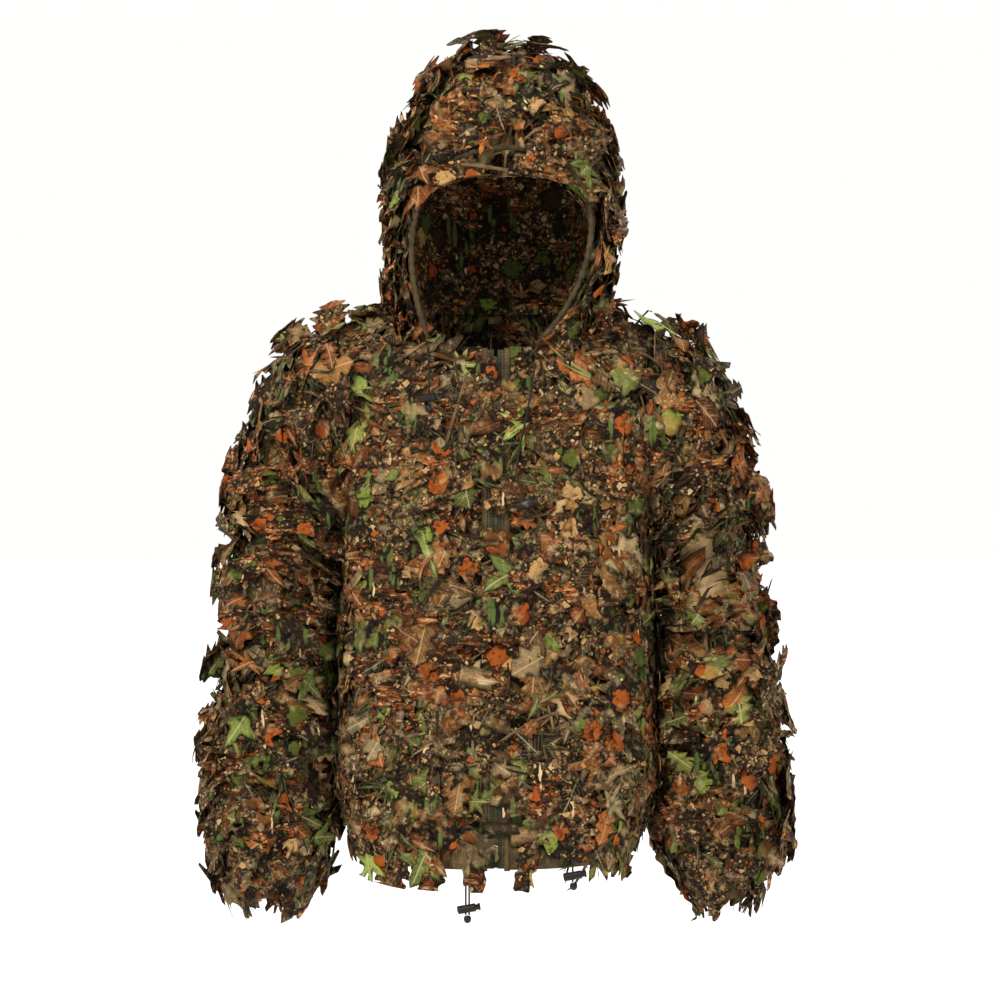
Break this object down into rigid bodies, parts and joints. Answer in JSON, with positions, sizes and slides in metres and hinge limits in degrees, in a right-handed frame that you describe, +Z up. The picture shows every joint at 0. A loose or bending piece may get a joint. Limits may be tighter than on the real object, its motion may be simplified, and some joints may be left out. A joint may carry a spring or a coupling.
{
  "type": "ghillie suit",
  "caption": "Hooded zip-front leaf camouflage jacket of a ghillie suit: sheer printed mesh covered in leaf-cut flaps, with drawcords, cord locks and gathered cuffs.",
  "frame": {"origin": "middle of the neck base, where the jacket hangs on the wearer's shoulders", "axes": "+Z up, -Y the front of the jacket, +X to the right as seen from the front, which is the wearer's left"},
  "size_m": [0.6936, 0.2942, 1.0598],
  "materials": {
    "mesh_fabric": "sheer brown polyester mesh printed with a forest floor of leaves, bark and twigs, matt",
    "leaf_fabric": "thin matt polyester with the same print, laser-cut into overlapping leaf-shaped flaps",
    "binding": "olive-brown woven binding, matt, with a row of stitching",
    "zip_tape": "dark olive woven zip tape, matt",
    "zip_teeth": "dark olive moulded nylon teeth, satin",
    "dark_metal": "blackened pressed metal, worn at the edges",
    "black_plastic": "black moulded nylon, soft gloss",
    "cord": "black braided round elastic cord",
    "elastic": "black knitted elastic band",
    "spring": "plain spring steel wire"
  },
  "bodies": {
    "jacket": {"front_panel_left": "mesh_fabric", "front_panel_right": "mesh_fabric", "front_leaf_layer_left": "leaf_fabric", "front_leaf_layer_right": "leaf_fabric", "back_panel": "mesh_fabric", "back_leaf_layer": "leaf_fabric", "front_edge_binding_left": "binding", "front_edge_binding_right": "binding", "zip_tape_left": "zip_tape", "zip_tape_right": "zip_tape", "zip_teeth_left": "zip_teeth", "zip_teeth_right": "zip_teeth", "zip_retainer_box": "zip_teeth", "hem_casing": "binding", "hem_elastic_cord": "cord", "hem_cord_left_eyelet": "dark_metal", "hem_cord_left_outer_strand": "cord", "hem_cord_left_inner_strand": "cord", "hem_cord_left_end": "black_plastic", "hem_cord_right_eyelet": "dark_metal", "hem_cord_right": "cord", "hem_cord_right_end": "black_plastic", "hood_cord_left_eyelet": "dark_metal", "hood_cord_left": "cord", "hood_cord_left_end": "black_plastic", "hood_cord_right_eyelet": "dark_metal", "hood_cord_right": "cord", "hood_cord_right_end": "black_plastic"},
    "hood": {"hood_panel_left": "mesh_fabric", "hood_panel_right": "mesh_fabric", "hood_leaf_layer_left": "leaf_fabric", "hood_leaf_layer_right": "leaf_fabric", "hood_opening_casing": "binding", "hood_drawcord_in_casing": "cord"},
    "zip_slider_body": {"zip_slider": "dark_metal"},
    "zip_pull_tab_body": {"zip_pull_tab": "dark_metal"},
    "upper_sleeve_left_body": {"upper_sleeve_left": "mesh_fabric", "upper_sleeve_leaf_layer_left": "leaf_fabric"},
    "lower_sleeve_left_body": {"lower_sleeve_left": "mesh_fabric", "lower_sleeve_leaf_layer_left": "leaf_fabric", "cuff_casing_left": "binding", "cuff_elastic_left": "elastic"},
    "upper_sleeve_right_body": {"upper_sleeve_right": "mesh_fabric", "upper_sleeve_leaf_layer_right": "leaf_fabric"},
    "lower_sleeve_right_body": {"lower_sleeve_right": "mesh_fabric", "lower_sleeve_leaf_layer_right": "leaf_fabric", "cuff_casing_right": "binding", "cuff_elastic_right": "elastic"},
    "hood_cord_left_lock_assembly": {"hood_cord_left_lock_body": "black_plastic", "hood_cord_left_lock_spring": "spring"},
    "hood_cord_left_button_assembly": {"hood_cord_left_lock_button": "black_plastic"},
    "hood_cord_right_lock_assembly": {"hood_cord_right_lock_body": "black_plastic", "hood_cord_right_lock_spring": "spring"},
    "hood_cord_right_button_assembly": {"hood_cord_right_lock_button": "black_plastic"},
    "hem_cord_left_lock_assembly": {"hem_cord_left_lock_body": "black_plastic", "hem_cord_left_lock_spring": "spring"},
    "hem_cord_left_button_assembly": {"hem_cord_left_lock_button": "black_plastic"},
    "hem_cord_right_lock_assembly": {"hem_cord_right_lock_body": "black_plastic", "hem_cord_right_lock_spring": "spring"},
    "hem_cord_right_button_assembly": {"hem_cord_right_lock_button": "black_plastic"}
  },
  "joints": [
    {"name": "hood_fold_back", "type": "hinge", "parent": "jacket", "child": "hood", "pos_m": [0, 0.137, 0.036], "axis": [-1, 0, 0], "range_deg": [0, 85]},
    {"name": "zip_slide", "type": "slide", "parent": "jacket", "child": "zip_slider_body", "axis": [0, -0.0881, -0.9961], "range_m": [0, 0.572]},
    {"name": "pull_tab_swing", "type": "hinge", "parent": "zip_slider_body", "child": "zip_pull_tab_body", "pos_m": [0, -0.10152, -0.03952], "axis": [-1, 0, 0], "range_deg": [0, 150]},
    {"name": "shoulder_raise_left", "type": "hinge", "parent": "jacket", "child": "upper_sleeve_left_body", "pos_m": [-0.194, 0.008, 0.03], "axis": [0, 1, 0], "range_deg": [0, 70]},
    {"name": "elbow_bend_left", "type": "hinge", "parent": "upper_sleeve_left_body", "child": "lower_sleeve_left_body", "pos_m": [-0.2615, -0.066, -0.35], "axis": [-0.9953, 0, 0.0966], "range_deg": [0, 90]},
    {"name": "shoulder_raise_right", "type": "hinge", "parent": "jacket", "child": "upper_sleeve_right_body", "pos_m": [0.194, 0.008, 0.03], "axis": [0, -1, 0], "range_deg": [0, 70]},
    {"name": "elbow_bend_right", "type": "hinge", "parent": "upper_sleeve_right_body", "child": "lower_sleeve_right_body", "pos_m": [0.2615, -0.066, -0.35], "axis": [-0.9953, 0, -0.0966], "range_deg": [0, 90]},
    {"name": "hood_cord_left_lock_slide", "type": "slide", "parent": "jacket", "child": "hood_cord_left_lock_assembly", "axis": [0, 0.0881, 0.9961], "range_m": [0, 0.012]},
    {"name": "hood_cord_left_button_press", "type": "slide", "parent": "hood_cord_left_lock_assembly", "child": "hood_cord_left_button_assembly", "axis": [-0.9016, 0.4208, -0.1002], "range_m": [0, 0.0026], "stiffness_N_per_m": 300, "springref_m": -0.002, "deforming": ["hood_cord_left_lock_spring"]},
    {"name": "hood_cord_right_lock_slide", "type": "slide", "parent": "jacket", "child": "hood_cord_right_lock_assembly", "axis": [-0.2567, 0.0851, 0.9627], "range_m": [0, 0.014]},
    {"name": "hood_cord_right_button_press", "type": "slide", "parent": "hood_cord_right_lock_assembly", "child": "hood_cord_right_button_assembly", "axis": [-0.9659, 0, -0.259], "range_m": [0, 0.0026], "stiffness_N_per_m": 300, "springref_m": -0.002, "deforming": ["hood_cord_right_lock_spring"]},
    {"name": "hem_cord_left_lock_slide", "type": "slide", "parent": "jacket", "child": "hem_cord_left_lock_assembly", "axis": [0, 0, 1], "range_m": [0, 0.034]},
    {"name": "hem_cord_left_button_press", "type": "slide", "parent": "hem_cord_left_lock_assembly", "child": "hem_cord_left_button_assembly", "axis": [-0.9849, 0, -0.173], "range_m": [0, 0.0026], "stiffness_N_per_m": 300, "springref_m": -0.002, "deforming": ["hem_cord_left_lock_spring"]},
    {"name": "hem_cord_right_lock_slide", "type": "slide", "parent": "jacket", "child": "hem_cord_right_lock_assembly", "axis": [0, 0, 1], "range_m": [0, 0.004]},
    {"name": "hem_cord_right_button_press", "type": "slide", "parent": "hem_cord_right_lock_assembly", "child": "hem_cord_right_button_assembly", "axis": [-0.9849, 0, -0.173], "range_m": [0, 0.0026], "stiffness_N_per_m": 300, "springref_m": -0.002, "deforming": ["hem_cord_right_lock_spring"]}
  ]
}
